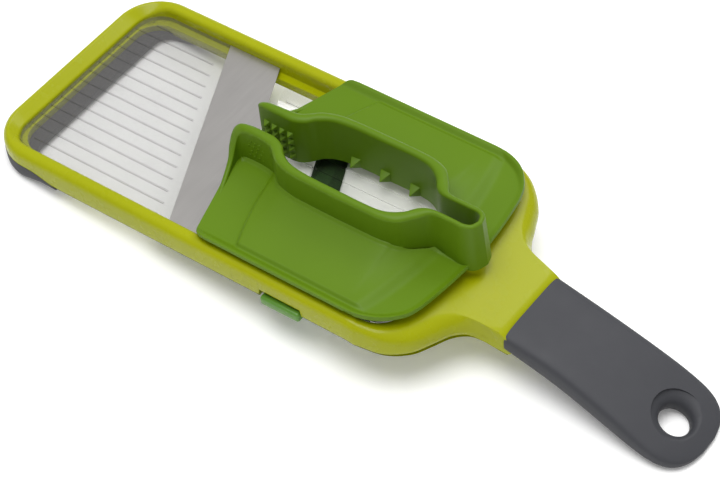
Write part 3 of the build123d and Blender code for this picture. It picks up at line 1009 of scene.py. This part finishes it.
# The feed platform's finish carries a field of painted light.
PLATFORM_PAINTED_LIGHT = clear("platform_painted_light", (0.13, 0.125, 0.12), 0.03, 0.9, 0.12, 1.0)
print("clear finishes:", CLEAR.name, PLATFORM_PAINTED_LIGHT.name)

# %% [markdown]
# ## Give every piece its finish
#
# Each piece, kept or new, belongs to a material slot of the record, and each slot has
# one finish. Kept parts only have their slot's material exchanged. Clear plates cast
# almost no shadow, so theirs is switched off, which keeps the rails' edges crisp.

# %% Assign the finishes
FINISH_OF = {"lime": LIME, "green": GREEN, "button_green": BUTTON_GREEN,
             "dark_green": DARK_GREEN, "grey": GREY, "blade_steel": BLADE,
             "screw_steel": SCREW, "clear": CLEAR}


def paint(piece, finish):
    piece.data.materials.clear()
    piece.data.materials.append(finish)


slot_of = {}
for entry in frame["record"]["subparts"]:
    slot_of[entry["node"]] = entry["material_slot"]
for name, node in frame["nodes"].items():
    paint(node, FINISH_OF[slot_of[name]])
for piece in [o for o in bpy.data.objects if o.type == "MESH" and "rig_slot" in o]:
    paint(piece, FINISH_OF[piece["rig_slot"]])
paint(frame["nodes"]["feed_platform"], PLATFORM_PAINTED_LIGHT)
for name in ("landing_plate", "feed_platform"):
    frame["nodes"][name].visible_shadow = False
print("slots used:", sorted(set(slot_of.values())))

# %% [markdown]
# ## Studio
#
# A plain pale floor that glows a little, a broad soft light overhead, a weaker one
# behind and an even sky. The sky is darker at the horizon, so that glossy sides have
# an edge to reflect and read as round. The floor isn't part of the slicer.

# %% Floor and light
deselect()
bpy.ops.mesh.primitive_plane_add(size=12, location=(0, 0, 0))
floor = bpy.context.object
floor.name = "studio_floor"
floor_finish = Finish("pale_floor", Roughness=0.85, Specular_IOR_Level=0.1,
                      Emission_Color=(1, 1, 1, 1), Emission_Strength=0.1)
floor_tone = floor_finish.noise(floor_finish.place(), 3.0)
floor_finish.set(Base_Color=floor_finish.mix(floor_tone, (0.96, 0.96, 0.955, 1),
                                             (0.97, 0.97, 0.965, 1)))
paint(floor, floor_finish.material)


def soft_light(name, place, size, watts):
    light = bpy.data.lights.new(name, "AREA")
    light.shape = "DISK"
    light.size = size
    light.energy = watts
    lamp = bpy.data.objects.new(name, light)
    bpy.context.scene.collection.objects.link(lamp)
    lamp.location = place
    lamp.rotation_euler = (-Vector(place)).to_track_quat("-Z", "Y").to_euler()
    return lamp


soft_light("back", (0.10, 1.15, 1.30), 0.9, 8.0)
soft_light("top", (-0.15, -0.25, 1.9), 1.4, 27.0)

sky = bpy.data.worlds.new("studio_sky")
bpy.context.scene.world = sky
sky.use_nodes = True
sky_nodes, sky_links = sky.node_tree.nodes, sky.node_tree.links
towards = sky_nodes.new("ShaderNodeTexCoord")
split = sky_nodes.new("ShaderNodeSeparateXYZ")
ramp = sky_nodes.new("ShaderNodeValToRGB")
ramp.color_ramp.elements[0].position = 0.0
ramp.color_ramp.elements[0].color = (0.38, 0.38, 0.39, 1)
ramp.color_ramp.elements[1].position = 0.85
ramp.color_ramp.elements[1].color = (0.86, 0.86, 0.86, 1)
sky_links.new(towards.outputs["Generated"], split.inputs[0])
sky_links.new(split.outputs["Z"], ramp.inputs["Fac"])
sky_links.new(ramp.outputs["Color"], sky_nodes["Background"].inputs["Color"])
sky_nodes["Background"].inputs["Strength"].default_value = 0.8
bpy.context.scene.view_settings.view_transform = "Standard"
bpy.context.scene.view_settings.look = "None"
print("lights placed")

# %% [markdown]
# ## Camera
#
# A long lens from above the near right keeps the slicer's lines almost parallel. The
# camera stands on a sphere around the middle of the slicer, at an azimuth and an
# elevation, and rolls by a quarter of a degree.

# %% Place the camera
AZIMUTH = math.radians(36.36)
ELEVATION = math.radians(50.93)
ROLL = math.radians(0.24)
DISTANCE = 1.087
AIM = Vector((0.0015, -0.0099, 0.0209))

away = Vector((math.cos(ELEVATION) * math.sin(AZIMUTH), -math.cos(ELEVATION) * math.cos(AZIMUTH),
               math.sin(ELEVATION)))
lens = bpy.data.cameras.new("camera")
lens.lens = 125.0
lens.sensor_width = 36.0
lens.clip_start = 0.01
camera = bpy.data.objects.new("camera", lens)
bpy.context.scene.collection.objects.link(camera)
camera.location = AIM + away * DISTANCE
look = (-away).to_track_quat("-Z", "Y").to_matrix()
camera.rotation_euler = (look @ Matrix.Rotation(ROLL, 3, "Z")).to_euler()
bpy.context.scene.camera = camera
print("camera at", [round(c, 4) for c in camera.location])

# %% [markdown]
# ## Bring the scene up to date
#
# The finished slicer has to be the size of its mechanical model. The last line brings
# every object's place up to date.


bpy.context.view_layer.update()
